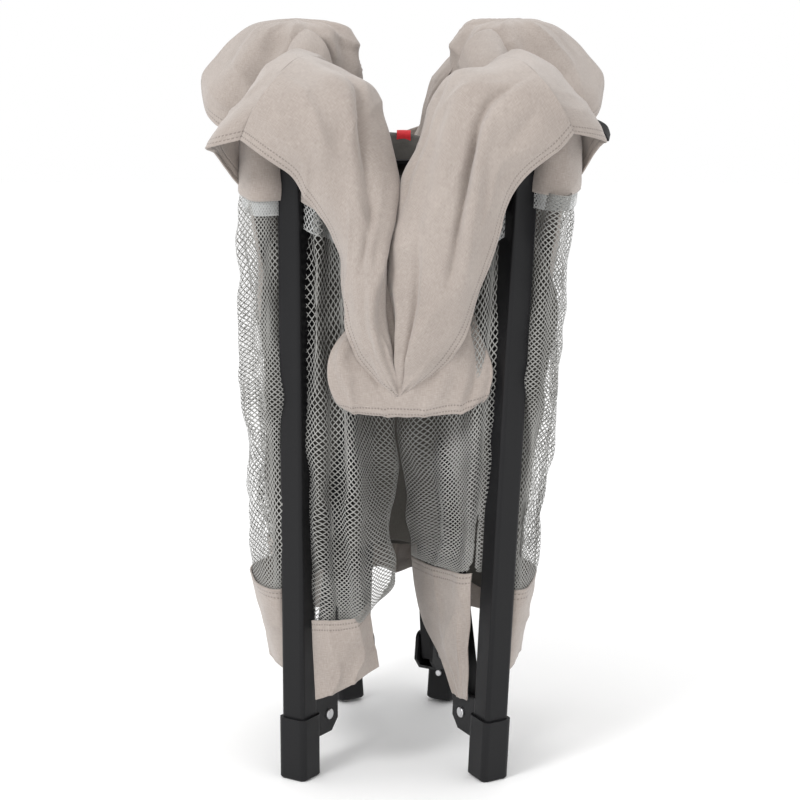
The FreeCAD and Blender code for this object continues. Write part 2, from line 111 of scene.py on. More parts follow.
def woven(name, dark, light, thread, sheen, stitched=True):
    """Plain-woven cloth: crossing threads, long soft streaks of tone and, along a hem, two rows of stitches."""
    made, tree, skin = shader(name, Roughness=0.92, Sheen_Weight=sheen, Sheen_Roughness=0.6,
                              Specular_IOR_Level=0.18)
    spread = node(tree, "ShaderNodeUVMap", uv_map="cloth").outputs[0]
    apart = node(tree, "ShaderNodeSeparateXYZ", {"Vector": spread})
    across, along = apart.outputs[0], apart.outputs[1]
    turn = 2 * math.pi / thread
    warp = maths(tree, "SINE", maths(tree, "MULTIPLY", across, turn))
    weft = maths(tree, "SINE", maths(tree, "MULTIPLY", along, turn))
    weave = maths(tree, "MULTIPLY", warp, weft)
    streaks = []
    for scale in ((160, 1500, 1), (1500, 160, 1)):
        laid = node(tree, "ShaderNodeMapping", {"Vector": spread}, Scale=scale)
        streaks.append(node(tree, "ShaderNodeTexNoise", {"Vector": laid.outputs[0]},
                            Scale=1.0, Detail=3.0).outputs[0])
    slub = maths(tree, "ADD", streaks[0], streaks[1])
    patch = node(tree, "ShaderNodeTexNoise", {"Vector": spread}, Scale=14.0, Detail=4.0).outputs[0]
    tone = maths(tree, "ADD", maths(tree, "MULTIPLY", slub, 0.62), maths(tree, "MULTIPLY", patch, 0.5))
    share = node(tree, "ShaderNodeMapRange", {"Value": tone}, **{"From Min": 0.55, "From Max": 1.2}).outputs[0]
    colour = blended(tree, share, dark, light)
    height = maths(tree, "ADD", maths(tree, "MULTIPLY", weave, 0.35), maths(tree, "MULTIPLY", slub, 0.5))
    if stitched:
        wave = maths(tree, "SINE", maths(tree, "MULTIPLY", along, 2 * math.pi / STITCH_PITCH))
        dash = maths(tree, "GREATER_THAN", wave, -0.35)
        rows = []
        for row in STITCH_ROWS:
            near = maths(tree, "ABSOLUTE", maths(tree, "SUBTRACT", across, row))
            rows.append(node(tree, "ShaderNodeMapRange", {"Value": near},
                             **{"From Min": 0.0011, "From Max": 0.0003}).outputs[0])
        groove = maths(tree, "MAXIMUM", rows[0], rows[1])
        sewn = maths(tree, "MULTIPLY", groove, dash)
        colour = blended(tree, maths(tree, "MULTIPLY", sewn, 0.55), colour, [c * 0.42 for c in dark[:3]] + [1])
        height = maths(tree, "SUBTRACT", height, maths(tree, "MULTIPLY", groove, 2.2))
    tree.links.new(colour, skin.inputs["Base Color"])
    bump = node(tree, "ShaderNodeBump", {"Height": height}, Strength=0.35, Distance=0.0004)
    tree.links.new(bump.outputs[0], skin.inputs["Normal"])
    return made


def moulded(name, colour, roughness, grain, depth):
    """Moulded plastic or powder coat: a fine grain, with slightly uneven gloss."""
    made, tree, skin = shader(name, Base_Color=colour, Specular_IOR_Level=0.22)
    place = node(tree, "ShaderNodeTexCoord").outputs["Object"]
    fine = node(tree, "ShaderNodeTexNoise", {"Vector": place}, Scale=grain, Detail=2.0).outputs[0]
    broad = node(tree, "ShaderNodeTexNoise", {"Vector": place}, Scale=22.0, Detail=3.0).outputs[0]
    gloss = node(tree, "ShaderNodeMapRange", {"Value": broad},
                 **{"From Min": 0.3, "From Max": 0.7, "To Min": roughness - 0.06, "To Max": roughness + 0.07})
    tree.links.new(gloss.outputs[0], skin.inputs["Roughness"])
    bump = node(tree, "ShaderNodeBump", {"Height": fine}, Strength=depth, Distance=0.0003)
    tree.links.new(bump.outputs[0], skin.inputs["Normal"])
    return made


def metal(name):
    """Zinc plate with fine scuffs in its gloss."""
    made, tree, skin = shader(name, Metallic=1.0, Base_Color=(0.60, 0.60, 0.61, 1))
    place = node(tree, "ShaderNodeTexCoord").outputs["Object"]
    scuff = node(tree, "ShaderNodeTexNoise", {"Vector": place}, Scale=900.0, Detail=4.0).outputs[0]
    gloss = node(tree, "ShaderNodeMapRange", {"Value": scuff}, **{"To Min": 0.18, "To Max": 0.45})
    tree.links.new(gloss.outputs[0], skin.inputs["Roughness"])
    return made


def threads(name, dark, light):
    """Knitted net thread: its tone varies at random along the strands, with a fine bump."""
    made, tree, skin = shader(name, Roughness=0.75, Sheen_Weight=0.15, Specular_IOR_Level=0.25)
    spread = node(tree, "ShaderNodeUVMap", uv_map="cloth").outputs[0]
    tone = node(tree, "ShaderNodeTexNoise", {"Vector": spread}, Scale=700.0, Detail=2.0).outputs[0]
    broad = node(tree, "ShaderNodeTexNoise", {"Vector": spread}, Scale=18.0, Detail=2.0).outputs[0]
    share = node(tree, "ShaderNodeMapRange", {"Value": maths(tree, "ADD", tone, broad)},
                 **{"From Min": 0.7, "From Max": 1.3}).outputs[0]
    tree.links.new(blended(tree, share, dark, light), skin.inputs["Base Color"])
    bump = node(tree, "ShaderNodeBump", {"Height": tone}, Strength=0.5, Distance=0.0004)
    tree.links.new(bump.outputs[0], skin.inputs["Normal"])
    return made


TAUPE = woven("taupe_cloth", (0.265, 0.224, 0.198, 1), (0.455, 0.398, 0.360, 1), 0.0009, 0.3)
# floor cloth colours are its tone in shade inside the folded yard: painted shade, darker than the cloth itself
FLOOR_CLOTH_PAINTED_SHADE = woven("floor_cloth_painted_shade", (0.045, 0.041, 0.036, 1), (0.085, 0.079, 0.070, 1), 0.0010, 0.2)
RED = woven("red_webbing", (0.50, 0.012, 0.02, 1), (0.72, 0.03, 0.04, 1), 0.0018, 0.2, stitched=False)
BLACK_WEB = woven("black_webbing", (0.010, 0.010, 0.011, 1), (0.022, 0.022, 0.023, 1), 0.0016, 0.1, stitched=False)
NET = threads("net_thread", (0.20, 0.198, 0.186, 1), (0.36, 0.357, 0.342, 1))
NET_EDGE = threads("net_edge_thread", (0.34, 0.345, 0.34, 1), (0.50, 0.505, 0.50, 1))
FRAME_BLACK = moulded("satin_frame_black", (0.0075, 0.0075, 0.0085, 1), 0.36, 1500.0, 0.25)
MOULDING = moulded("grained_moulding", (0.0095, 0.0095, 0.0105, 1), 0.46, 1100.0, 0.6)
BUTTON = moulded("button_grey", (0.05, 0.05, 0.054, 1), 0.5, 1200.0, 0.5)
STEEL = metal("rivet_steel")

FINISHES = (("foot_fasteners", STEEL), ("rail_pins", STEEL), ("hub_pins", STEEL), ("lock_pin", STEEL),
            ("lock_button", BUTTON), ("post_", FRAME_BLACK), ("strut_", FRAME_BLACK), ("rail_", FRAME_BLACK))
for label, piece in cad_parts.items():
    finish = next((made for start, made in FINISHES if label.startswith(start)), MOULDING)
    piece.data.materials.clear()
    piece.data.materials.append(finish)

# ---- cloth ---------------------------------------------------------------------------------------


def eased(points, place):
    """A point on the smooth line through points; place runs from 0 to 1."""
    run = min(max(place, 0.0), 1.0) * (len(points) - 1)
    index = min(int(run), len(points) - 2)
    t = run - index
    before, start = points[max(index - 1, 0)], points[index]
    end, after = points[index + 1], points[min(index + 2, len(points) - 1)]
    return 0.5 * ((2 * start) + (end - before) * t + (2 * before - 5 * start + 4 * end - after) * t * t
                  + (3 * start - before - 3 * end + after) * t ** 3)


def drawn(rows):
    """Rows of points in millimetres, as rows of vectors in metres."""
    return [[Vector(point) * MM for point in row] for row in rows]


def on_sheet(rows, across, along):
    return eased([eased(row, across) for row in rows], along)


def length_of(points):
    return sum((b - a).length for a, b in zip(points, points[1:]))


def flat_size(rows):
    """Mean width and length of the sheet that the rows draw."""
    step = [i / 24 for i in range(25)]
    widths = [length_of([on_sheet(rows, s, t) for s in step]) for t in step[::3]]
    lengths = [length_of([on_sheet(rows, s, t) for t in step]) for s in step[::3]]
    return sum(widths) / len(widths), sum(lengths) / len(lengths)


def puckers(seed, size, depth):
    """Gentle unevenness of the cloth, from noise at two sizes."""
    def height(spot, across, along):
        first = noise.noise(Vector((spot.x / size, spot.y / size, spot.z / size)) + Vector((seed, 0, 0)))
        second = noise.noise(Vector((spot.x / size * 2.7, spot.y / size * 2.7, spot.z / size * 2.7 + seed)))
        return depth * (first + 0.4 * second)
    return height


def creases(lines):
    """Folds drawn as (across, along) to (across, along) lines, each with its width and height in millimetres."""
    def height(spot, across, along):
        total = 0.0
        for a0, l0, a1, l1, wide, tall in lines:
            run_a, run_l = a1 - a0, l1 - l0
            t = min(max(((across - a0) * run_a + (along - l0) * run_l) / (run_a ** 2 + run_l ** 2), 0), 1)
            off = math.hypot(across - a0 - t * run_a, along - l0 - t * run_l)
            total += tall * MM * math.exp(-(off / wide) ** 2) * math.sin(math.pi * min(max(t, 0.04), 0.96)) ** 0.5
        return total
    return height


def wrinkles(seed, wide, long, depth, slant=0.0):
    """Small sharp ridges that wander over the sheet, wide and long as shares of it."""
    def height(spot, across, along):
        drift = noise.noise(Vector(((across + slant * along) / wide, along / long, seed)))
        return depth * (1 - min(abs(drift) * 3.5, 1)) ** 2
    return height


def turned_rows(rows):
    """The same sheet with its columns as rows, so that its hem lies along the first column."""
    return [list(column) for column in zip(*rows)]


def placed(name, bm, material):
    """A finished mesh as an object at the origin."""
    data = bpy.data.meshes.new(name)
    bm.to_mesh(data)
    bm.free()
    data.polygons.foreach_set("use_smooth", [True] * len(data.polygons))
    made = bpy.data.objects.new(name, data)
    bpy.context.scene.collection.objects.link(made)
    data.materials.append(material)
    return made


def measured(bm, spots):
    """Writes how far each point lies from the hem and along it, in metres, as the cloth's own map."""
    columns = max(i for i, j in spots) + 1
    rows = max(j for i, j in spots) + 1
    far, down = {}, {}
    for j in range(rows):
        total = 0.0
        for i in range(columns):
            if i:
                total += (spots[i, j].co - spots[i - 1, j].co).length
            far[i, j] = total
    middle = columns // 2
    total = 0.0
    for j in range(rows):
        if j:
            total += (spots[middle, j].co - spots[middle, j - 1].co).length
        for i in range(columns):
            down[i, j] = total
    layer = bm.loops.layers.uv.new("cloth")
    where = {vert: key for key, vert in spots.items()}
    for face in bm.faces:
        for loop in face.loops:
            key = where[loop.vert]
            loop[layer].uv = (far[key], down[key])


def cloth(name, rows, material, grain=(60, 90), heights=(), thick=1.6, flip=False):
    """A sheet of cloth through rows of points, with its folds, its map and its thickness."""
    rows = drawn(rows)
    bm = bmesh.new()
    bmesh.ops.create_grid(bm, x_segments=grain[0], y_segments=grain[1], size=0.5)
    spots, shares = {}, {}
    for vert in bm.verts:
        across, along = vert.co.x + 0.5, vert.co.y + 0.5
        spots[round(across * grain[0]), round(along * grain[1])] = vert
        shares[vert] = (across, along)
    for vert, (across, along) in shares.items():
        vert.co = on_sheet(rows, across, along)
    if flip:
        bmesh.ops.reverse_faces(bm, faces=bm.faces[:])
    bm.normal_update()
    moves = {vert: vert.normal * sum(h(vert.co, *shares[vert]) for h in heights) * min(1, 0.1 + 7 * shares[vert][1])
             for vert in bm.verts}
    for vert, move in moves.items():
        vert.co += move
    measured(bm, spots)
    bm.normal_update()
    made = placed(name, bm, material)
    shell = made.modifiers.new("cloth_thickness", "SOLIDIFY")
    shell.thickness = thick * MM
    shell.offset = 0
    return made


def net(name, rows, material=None, pitch=4.0, thread=1.2, heights=()):
    """Knitted net with diamond holes, laid on the sheet that the rows draw; slivers at its edges are left out."""
    rows = drawn(rows)
    wide, long = flat_size(rows)
    side = (wide + long) / math.sqrt(2)
    cells = max(4, round(side / (pitch * MM)))
    bm = bmesh.new()
    bmesh.ops.create_grid(bm, x_segments=cells, y_segments=cells, size=side / 2)
    bmesh.ops.rotate(bm, verts=bm.verts[:], cent=(0, 0, 0), matrix=Matrix.Rotation(math.pi / 4, 3, "Z"))
    outside = [face for face in bm.faces
               if abs(face.calc_center_median().x) > wide / 2 or abs(face.calc_center_median().y) > long / 2]
    bmesh.ops.delete(bm, geom=outside, context="FACES")
    layer = bm.loops.layers.uv.new("cloth")
    for face in bm.faces:
        for loop in face.loops:
            loop[layer].uv = (loop.vert.co.x + wide / 2, loop.vert.co.y + long / 2)
    shares = {vert: (min(max(vert.co.x / wide + 0.5, 0), 1), min(max(vert.co.y / long + 0.5, 0), 1))
              for vert in bm.verts}
    for vert, (across, along) in shares.items():
        vert.co = on_sheet(rows, across, along)
    bm.normal_update()
    moves = {vert: vert.normal * sum(h(vert.co, *shares[vert]) for h in heights) * min(1, 8 * (1 - shares[vert][1]))
             for vert in bm.verts}
    for vert, move in moves.items():
        vert.co += move
    slivers = [face for face in bm.faces if face.calc_area() < 0.3 * (pitch * MM) ** 2]
    bmesh.ops.delete(bm, geom=slivers, context="FACES")
    holes = bm.faces[:]
    bmesh.ops.inset_individual(bm, faces=holes, thickness=thread * MM * 0.68, use_even_offset=False)
    bmesh.ops.delete(bm, geom=holes, context="FACES")
    made = placed(name, bm, material or NET)
    return made


# ---- front half covers ---------------------------------------------------------------------------

FRONT_LEFT_COVER = [
    [(-151, -196, 641), (-140, -203, 667), (-125, -198, 690), (-111, -180, 705), (-98, -150, 714),
     (-83, -105, 711), (-74, -60, 700)],
    [(-131, -206, 628), (-113, -218, 659), (-95, -214, 682), (-80, -197, 695), (-63, -162, 701),
     (-55, -112, 696), (-53, -70, 687)],
    [(-106, -200, 609), (-90, -216, 634), (-72, -217, 659), (-55, -203, 680), (-38, -168, 690),
     (-36, -122, 681), (-38, -85, 672)],
    [(-92, -190, 585), (-78, -208, 607), (-59, -212, 631), (-42, -204, 652), (-28, -172, 664),
     (-26, -128, 652), (-28, -95, 641)],
    [(-74, -182, 560), (-62, -203, 577), (-47, -209, 595), (-29, -202, 611), (-14, -172, 616),
     (-14, -132, 604), (-16, -102, 593)],
    [(-60, -176, 529), (-51, -198, 543), (-36, -206, 557), (-19, -200, 572), (-7, -172, 578),
     (-7, -135, 566), (-9, -108, 555)],
    [(-58, -173, 497), (-48, -195, 508), (-34, -202, 516), (-21, -196, 525), (-12, -171, 529),
     (-12, -137, 518), (-13, -112, 509)],
    [(-55, -172, 457), (-44, -190, 465), (-31, -197, 474), (-19, -191, 481), (-10, -171, 483),
     (-10, -142, 473), (-11, -120, 465)],
    [(-39, -172, 425), (-30, -184, 432), (-21, -189, 438), (-13, -185, 443), (-7, -172, 446),
     (-8, -152, 438), (-8, -138, 431)],
    [(-8, -170, 395), (-7, -175, 397), (-7, -176, 398), (-7, -174, 399), (-6, -170, 399), (-6, -163, 397),
     (-6, -158, 395)],
]
FRONT_RIGHT_COVER = [
    [(152, -236, 651), (141, -248, 674), (128, -244, 693), (116, -226, 705), (103, -192, 714),
     (89, -150, 713), (79, -110, 703)],
    [(136, -242, 634), (121, -254, 663), (106, -250, 688), (93, -232, 699), (78, -198, 705),
     (66, -152, 700), (58, -112, 690)],
    [(113, -236, 615), (98, -252, 644), (81, -252, 670), (64, -238, 693), (48, -203, 702),
     (40, -158, 692), (35, -118, 680)],
    [(97, -226, 593), (82, -246, 620), (66, -248, 645), (46, -236, 668), (30, -203, 676), (23, -160, 666),
     (21, -122, 654)],
    [(87, -212, 562), (74, -232, 586), (55, -238, 610), (36, -228, 635), (18, -200, 649), (12, -158, 636),
     (10, -124, 624)],
    [(78, -200, 529), (63, -220, 550), (45, -226, 573), (23, -217, 595), (0, -194, 606), (-2, -155, 593),
     (-2, -126, 580)],
    [(68, -191, 496), (53, -210, 511), (34, -216, 531), (12, -208, 550), (-8, -188, 561), (-9, -155, 548),
     (-8, -130, 535)],
    [(56, -184, 458), (40, -200, 471), (23, -206, 487), (5, -199, 502), (-11, -183, 511),
     (-10, -156, 500), (-9, -136, 489)],
    [(37, -178, 427), (24, -191, 437), (10, -196, 449), (-1, -191, 460), (-7, -180, 465), (-7, -159, 456),
     (-6, -143, 448)],
    [(14, -174, 404), (7, -182, 410), (1, -185, 417), (-4, -182, 422), (-7, -176, 426), (-6, -162, 420),
     (-5, -150, 414)],
    [(-4, -172, 395), (-4, -175, 396), (-4, -176, 397), (-5, -174, 398), (-5, -171, 398), (-5, -164, 396),
     (-5, -159, 394)],
]
LEFT_FOLDS = creases([(0.72, 0.08, 0.40, 0.50, 0.032, -9), (0.62, 0.06, 0.30, 0.50, 0.045, 5), (0.84, 0.16, 0.56, 0.56, 0.04, 4),
                      (0.93, 0.26, 0.74, 0.58, 0.03, -5), (0.30, 0.80, 0.72, 0.42, 0.04, 5), (0.24, 0.64, 0.55, 0.42, 0.03, -5),
                      (0.55, 0.95, 0.62, 0.62, 0.03, -6), (0.30, 0.95, 0.36, 0.66, 0.04, 5), (0.34, 0.10, 0.20, 0.34, 0.05, 3)])
RIGHT_FOLDS = creases([(0.42, 0.10, 0.26, 0.60, 0.028, -10), (0.33, 0.20, 0.17, 0.60, 0.045, 6), (0.55, 0.10, 0.44, 0.60, 0.055, 5),
                       (0.72, 0.18, 0.62, 0.62, 0.035, -5), (0.50, 0.58, 0.40, 0.92, 0.03, -6), (0.62, 0.60, 0.52, 0.95, 0.045, 5),
                       (0.24, 0.04, 0.12, 0.30, 0.04, -3)])
front_left_cover = cloth("front_left_cover", FRONT_LEFT_COVER, TAUPE, (84, 140),
                         [puckers(1, 0.06, 0.004), wrinkles(71, 0.22, 0.30, 0.0022, 0.5), LEFT_FOLDS],
                         flip=True)
front_right_cover = cloth("front_right_cover", FRONT_RIGHT_COVER, TAUPE, (84, 150),
                          [puckers(2, 0.06, 0.004), wrinkles(72, 0.22, 0.30, 0.0022, -0.5), RIGHT_FOLDS])
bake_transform(front_left_cover)
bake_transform(front_right_cover)
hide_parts("rail_cover_front_left")
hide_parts("rail_cover_front_right")

# ---- the other half covers -----------------------------------------------------------------------
# across the cover from hem over the crown to the inner edge: (along the side, outward in reaches, height)

LONG_COVER = [
    [(-0.80, 0.80, 645), (-0.86, 0.86, 675), (-0.70, 0.70, 708), (-0.45, 0.45, 728), (-0.10, 0.10, 737),
     (0.24, -0.24, 731), (0.40, -0.40, 716)],
    [(-0.36, 1.00, 640), (-0.36, 1.03, 672), (-0.28, 0.85, 708), (-0.18, 0.52, 731), (0.02, 0.12, 739),
     (0.32, -0.20, 732), (0.46, -0.36, 712)],
    [(0.00, 0.98, 628), (0.00, 1.00, 662), (0.06, 0.82, 700), (0.14, 0.50, 724), (0.34, 0.15, 732),
     (0.54, -0.15, 720), (0.62, -0.28, 698)],
    [(0.24, 0.80, 605), (0.31, 0.85, 636), (0.42, 0.72, 668), (0.58, 0.48, 694), (0.80, 0.20, 702),
     (0.89, -0.08, 686), (0.89, -0.18, 662)],
    [(0.40, 0.60, 565), (0.51, 0.66, 590), (0.64, 0.60, 612), (0.83, 0.42, 632), (1.05, 0.20, 640),
     (1.09, -0.02, 622), (1.06, -0.10, 600)],
    [(0.53, 0.50, 505), (0.66, 0.56, 520), (0.83, 0.50, 532), (1.02, 0.36, 542), (1.20, 0.20, 546),
     (1.22, 0.02, 532), (1.18, -0.06, 515)],
    [(0.69, 0.45, 430), (0.83, 0.50, 438), (1.00, 0.45, 444), (1.16, 0.33, 450), (1.32, 0.20, 452),
     (1.32, 0.04, 442), (1.28, -0.02, 430)],
    [(0.94, 0.40, 345), (1.09, 0.44, 350), (1.22, 0.40, 354), (1.38, 0.32, 357), (1.48, 0.20, 358),
     (1.48, 0.06, 350), (1.44, 0.02, 340)],
    [(1.28, 0.34, 270), (1.38, 0.37, 273), (1.48, 0.35, 276), (1.56, 0.28, 277), (1.63, 0.20, 276),
     (1.62, 0.10, 268), (1.60, 0.06, 262)],
    [(1.66, 0.26, 222), (1.67, 0.27, 222), (1.68, 0.26, 222), (1.69, 0.24, 222), (1.70, 0.20, 222),
     (1.69, 0.16, 219), (1.68, 0.12, 217)],
]
SHORT_COVER = [
    [(-0.30, 0.98, 628), (-0.28, 1.00, 662), (-0.20, 0.82, 696), (-0.08, 0.50, 716), (0.10, 0.15, 718),
     (0.20, -0.15, 706), (0.26, -0.28, 690)],
    [(0.06, 0.80, 598), (0.12, 0.85, 628), (0.20, 0.72, 655), (0.32, 0.48, 676), (0.44, 0.20, 682),
     (0.50, -0.08, 670), (0.50, -0.18, 650)],
    [(0.20, 0.62, 560), (0.28, 0.66, 585), (0.38, 0.60, 606), (0.50, 0.42, 622), (0.60, 0.20, 626),
     (0.64, 0.00, 612), (0.64, -0.10, 595)],
    [(0.36, 0.50, 515), (0.46, 0.55, 530), (0.58, 0.50, 545), (0.72, 0.38, 556), (0.86, 0.20, 560),
     (0.88, 0.04, 546), (0.87, -0.04, 530)],
    [(0.55, 0.42, 470), (0.66, 0.46, 480), (0.80, 0.42, 490), (0.94, 0.33, 497), (1.10, 0.20, 499),
     (1.12, 0.08, 486), (1.09, 0.00, 474)],
    [(0.77, 0.36, 428), (0.86, 0.39, 434), (0.96, 0.36, 439), (1.06, 0.30, 442), (1.15, 0.20, 443),
     (1.15, 0.10, 434), (1.14, 0.05, 426)],
    [(1.16, 0.25, 394), (1.17, 0.26, 394), (1.18, 0.25, 394), (1.19, 0.23, 394), (1.20, 0.20, 394),
     (1.19, 0.16, 391), (1.18, 0.12, 389)],
]
UNIT = 83  # millimetres along the side for one unit of the tables above


def top_of(corner):
    """The middle of a corner cap's top, in millimetres."""
    low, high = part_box("corner_cap_" + corner)
    return Vector(((low.x + high.x) / 2, (low.y + high.y) / 2, high.z)) / MM


def middle_of(side):
    """The middle of a side's lock, in millimetres."""
    low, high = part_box("lock_" + side)
    return (low + high) / 2 / MM


def half_cover(side, corner, reach, table, seed, folds):
    """One half rail's cover, from the corner seam over the cap and down to the lock."""
    start, lock = top_of(corner), middle_of(side)
    way = Vector((0, 1 if corner.startswith("front") else -1, 0)) if side in ("left", "right") else \
        Vector((1 if corner.endswith("left") else -1, 0, 0))
    out = {"left": Vector((-1, 0, 0)), "right": Vector((1, 0, 0)), "back": Vector((0, 1, 0))}[side]
    half = abs((lock - start).dot(way))
    stretch = half / (table[-1][0][0] * UNIT)
    rows = []
    for row in table:
        line = []
        for along, outward, height in row:
            s = along * UNIT * stretch if along > 0 else along * reach
            o = outward * (reach if height > 600 else reach * 0.55 + 34 * 0.45)
            line.append(start * 1 + way * s + out * o + Vector((0, 0, height - start.z)))
        rows.append([tuple(p) for p in line])
    outward_side = way.cross(out).z > 0
    name = "%s_%s_cover" % (side, corner.replace(side, "").strip("_"))
    made = cloth(name, rows, TAUPE, (56, 96),
                 [puckers(seed, 0.055, 0.004), wrinkles(seed + 75, 0.25, 0.2, 0.0025), creases(folds)],
                 flip=not outward_side)
    return made


BUMPS = [(0.15, 0.06, 0.5, 0.22, 0.05, 4.0), (0.4, 0.02, 0.55, 0.2, 0.04, -3.5), (0.6, 0.05, 0.6, 0.3, 0.05, 3.5),
         (0.2, 0.5, 0.75, 0.35, 0.05, 4.0), (0.3, 0.75, 0.7, 0.5, 0.05, -3.5)]
LEFT_FRONT_COVER = [
    [(-151, -193, 641), (-140, -200, 666), (-125, -195, 687), (-111, -178, 705), (-98, -149, 714),
     (-83, -105, 711), (-74, -60, 700)],
    [(-182, -184, 632), (-171, -182, 650), (-151, -174, 673), (-131, -160, 698), (-108, -130, 717),
     (-86, -92, 713), (-73, -55, 699)],
    [(-177, -152, 624), (-168, -148, 645), (-150, -138, 670), (-132, -124, 699), (-109, -102, 715),
     (-87, -74, 709), (-74, -45, 694)],
    [(-164, -118, 600), (-160, -112, 628), (-146, -100, 655), (-129, -86, 678), (-109, -68, 690),
     (-92, -50, 683), (-82, -38, 668)],
    [(-152, -92, 575), (-156, -82, 600), (-148, -66, 626), (-134, -52, 648), (-114, -42, 655),
     (-98, -34, 640), (-92, -30, 620)],
    [(-142, -78, 520), (-148, -64, 535), (-142, -46, 548), (-130, -30, 556), (-114, -20, 556),
     (-104, -18, 540), (-100, -18, 522)],
    [(-136, -66, 430), (-142, -52, 438), (-138, -34, 444), (-128, -16, 448), (-116, -6, 448),
     (-108, -6, 438), (-105, -8, 428)],
    [(-130, -40, 340), (-135, -28, 345), (-132, -14, 349), (-126, 0, 352), (-117, 8, 352), (-111, 8, 345),
     (-109, 6, 338)],
    [(-124, -10, 262), (-127, -3, 264), (-126, 5, 266), (-122, 13, 267), (-117, 17, 266), (-113, 17, 260),
     (-112, 16, 256)],
    [(-119, 18, 224), (-119, 20, 223), (-119, 21, 223), (-118, 22, 223), (-117, 22, 222), (-116, 22, 220),
     (-115, 22, 219)],
]
RIGHT_FRONT_COVER = [
    [(152, -233, 650), (141, -245, 670), (128, -241, 689), (116, -224, 705), (103, -191, 714),
     (89, -150, 713), (79, -110, 703)],
    [(183, -206, 641), (174, -206, 658), (156, -202, 680), (137, -189, 702), (111, -161, 718),
     (91, -125, 714), (79, -90, 701)],
    [(179, -172, 632), (171, -170, 652), (155, -161, 677), (138, -149, 702), (113, -128, 716),
     (93, -100, 709), (82, -76, 695)],
    [(166, -143, 606), (163, -137, 632), (150, -125, 660), (134, -110, 682), (114, -94, 692),
     (97, -78, 686), (88, -66, 670)],
    [(153, -122, 583), (158, -112, 606), (151, -98, 630), (138, -84, 650), (119, -72, 657),
     (104, -62, 642), (98, -58, 622)],
    [(140, -110, 522), (146, -98, 536), (141, -80, 549), (131, -64, 558), (116, -52, 558),
     (106, -48, 542), (102, -46, 524)],
    [(130, -95, 432), (136, -82, 439), (132, -66, 445), (124, -50, 450), (112, -40, 450), (104, -38, 440),
     (101, -38, 430)],
    [(120, -72, 342), (126, -60, 346), (123, -48, 350), (118, -36, 353), (109, -28, 353), (103, -26, 346),
     (101, -26, 339)],
    [(110, -42, 264), (114, -34, 266), (113, -26, 268), (110, -18, 269), (105, -14, 268), (101, -13, 262),
     (100, -13, 258)],
    [(105, -13, 226), (105, -12, 226), (105, -11, 226), (104, -10, 226), (103, -10, 225), (102, -10, 223),
     (101, -11, 222)],
]


def turns_with(made, side, corner):
    """The cover follows its post at the corner and its half rail beyond, and stands for the plain sleeve."""
    end = corner.split("_")[0] if side in ("left", "right") else corner.split("_")[1]
    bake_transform(made)
    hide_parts("rail_cover_%s_%s" % (side, end))


SIDE_FOLDS = creases([(0.15, 0.16, 0.6, 0.30, 0.05, 5), (0.2, 0.34, 0.7, 0.24, 0.05, -5), (0.2, 0.5, 0.75, 0.38, 0.05, 5),
                      (0.3, 0.75, 0.7, 0.55, 0.05, -5), (0.35, 0.9, 0.6, 0.7, 0.05, 4)])
turns_with(cloth("left_front_cover", LEFT_FRONT_COVER, TAUPE, (56, 110),
                 [puckers(3, 0.055, 0.003), wrinkles(73, 0.25, 0.2, 0.0025), SIDE_FOLDS]), "left", "front_left")
turns_with(cloth("right_front_cover", RIGHT_FRONT_COVER, TAUPE, (56, 110),
                 [puckers(4, 0.055, 0.003), wrinkles(74, 0.25, 0.2, 0.0025), SIDE_FOLDS],
                 flip=True), "right", "front_right")
for seed, (side, corner, table) in enumerate((
        ("left", "back_left", LONG_COVER[2:]), ("right", "back_right", LONG_COVER[2:]),
        ("back", "back_left", SHORT_COVER), ("back", "back_right", SHORT_COVER)), start=5):
    turns_with(half_cover(side, corner, 70, table, seed, BUMPS), side, corner)

# around each back hood, a quarter turn at a time from the outer side: reach and height of its hem
BACK_HOOD = [(103, 668), (106, 655), (104, 648), (94, 650), (90, 655), (84, 655), (74, 650), (66, 645), (62, 640),
             (66, 632), (70, 625), (68, 618), (66, 616), (76, 618), (90, 624), (99, 640)]
OUTER = ((1.0, 0.0), (1.0, 0.12), (0.97, 0.25), (0.84, 0.46), (0.68, 0.70), (0.42, 0.93), (0.002, 1.0))
INNER = ((1.0, 0.0), (1.03, 0.22), (1.02, 0.45), (0.98, 0.62), (0.88, 0.78), (0.60, 0.94), (0.002, 1.0))


def below_crown(height):
    """The same folds, fading out at the hood's crown and at the seam where it closes round."""
    return lambda spot, across, along: height(spot, across, along) * min(1, 5 * (1 - across), 8 * along, 8 * (1 - along))


